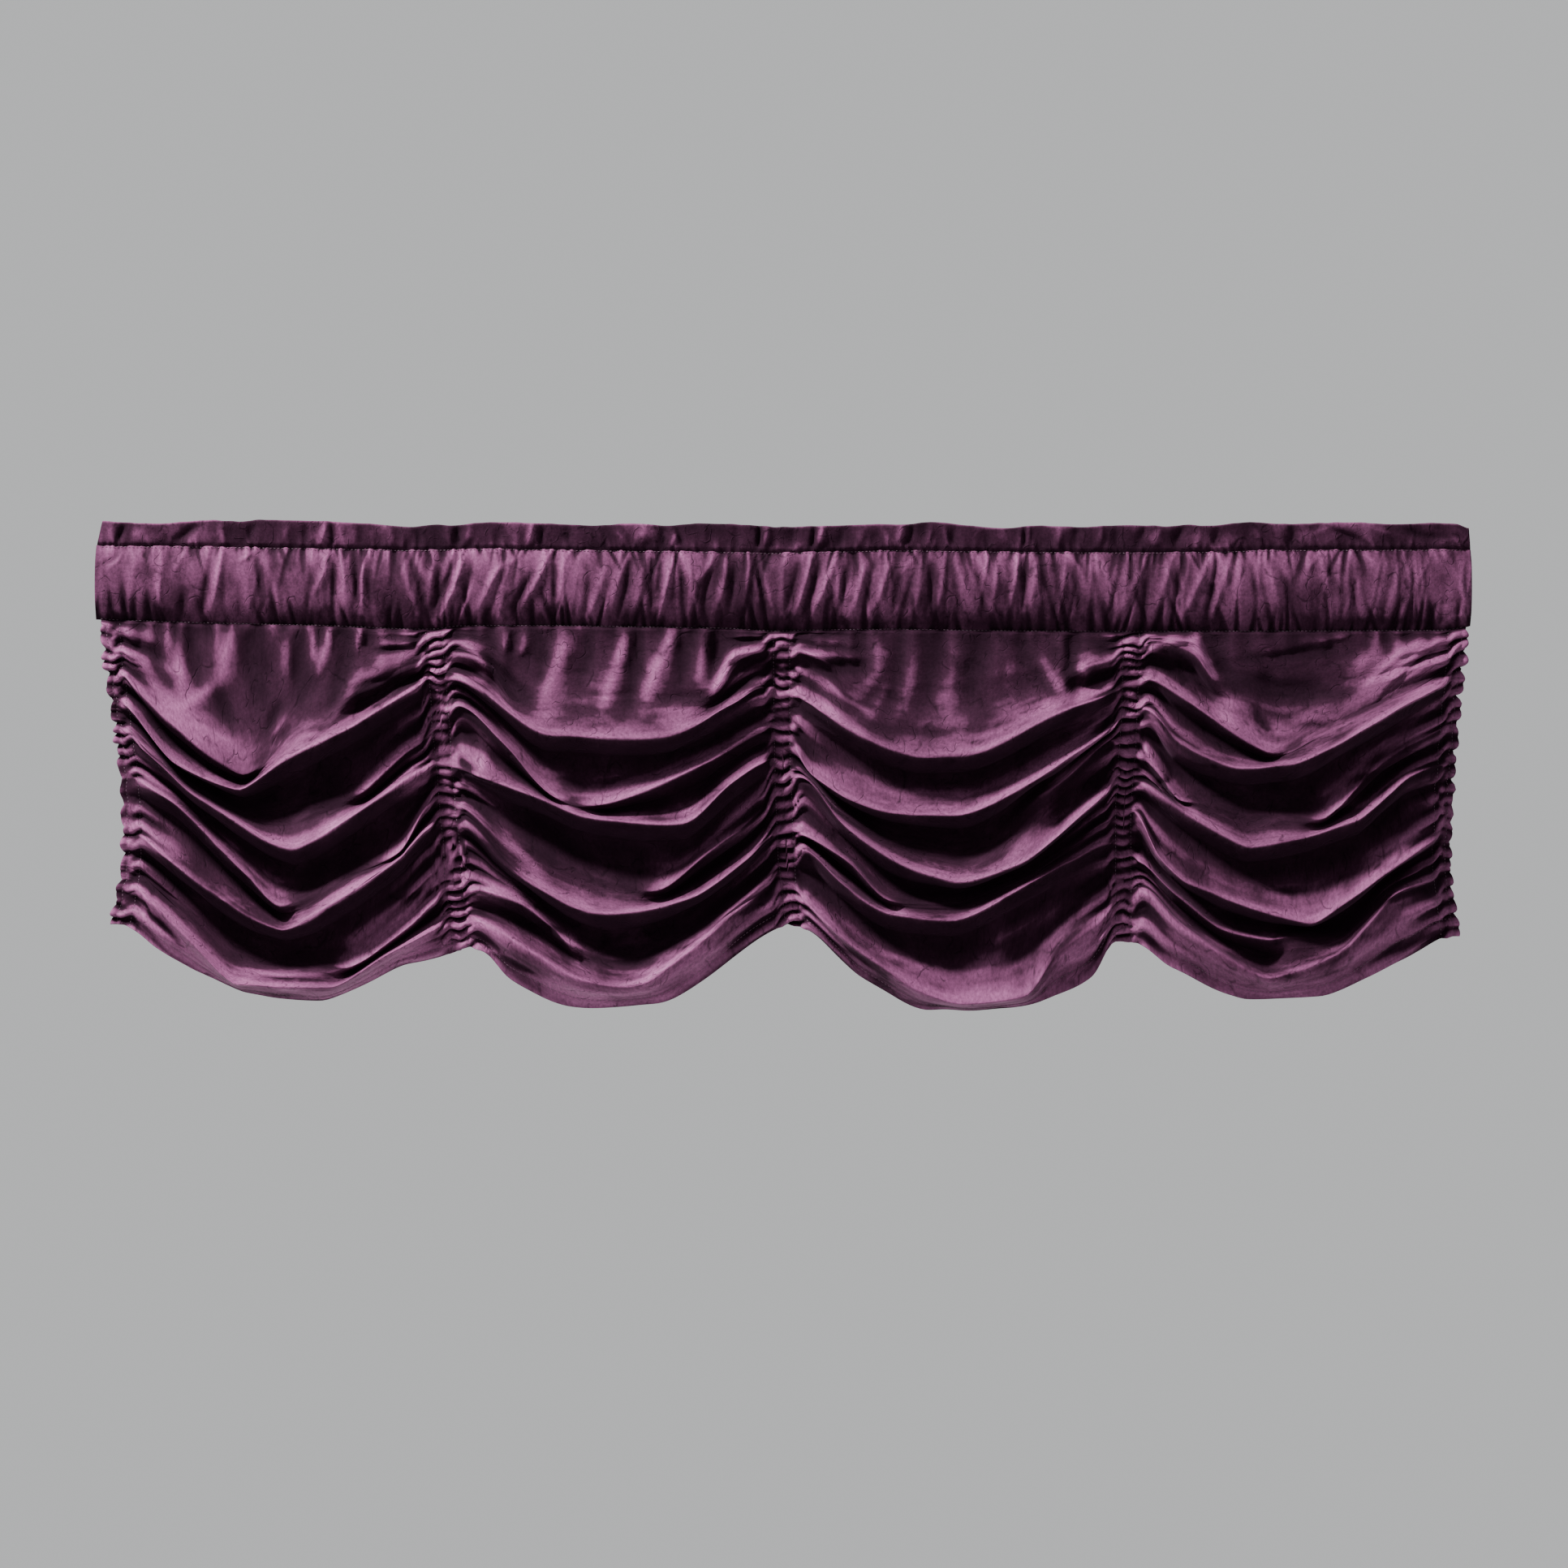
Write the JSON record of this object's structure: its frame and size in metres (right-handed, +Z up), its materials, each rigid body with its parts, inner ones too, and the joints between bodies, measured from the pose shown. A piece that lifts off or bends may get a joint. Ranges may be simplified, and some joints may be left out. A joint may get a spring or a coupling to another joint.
{
  "type": "window valance",
  "caption": "Velvet window valance: a heading frill over a wide gathered rod pocket, with deep draped swags between shirred columns and a scalloped hem.",
  "frame": {"origin": "middle of the upper stitch line of the rod pocket, where the heading frill meets it, the line that a rod inside the pocket holds up", "axes": "+X along the rod to the right as seen from the front, -Y out of the decorated front towards the room, +Z up"},
  "size_m": [1.275, 0.0527, 0.4533],
  "materials": {
    "heading_velvet": "matte pile",
    "pocket_velvet": "matte pile",
    "swag_velvet": "matte pile"
  },
  "bodies": {
    "root": {"heading_frill": "heading_velvet", "rod_pocket": "pocket_velvet", "swag_panel": "swag_velvet"}
  },
  "joints": []
}
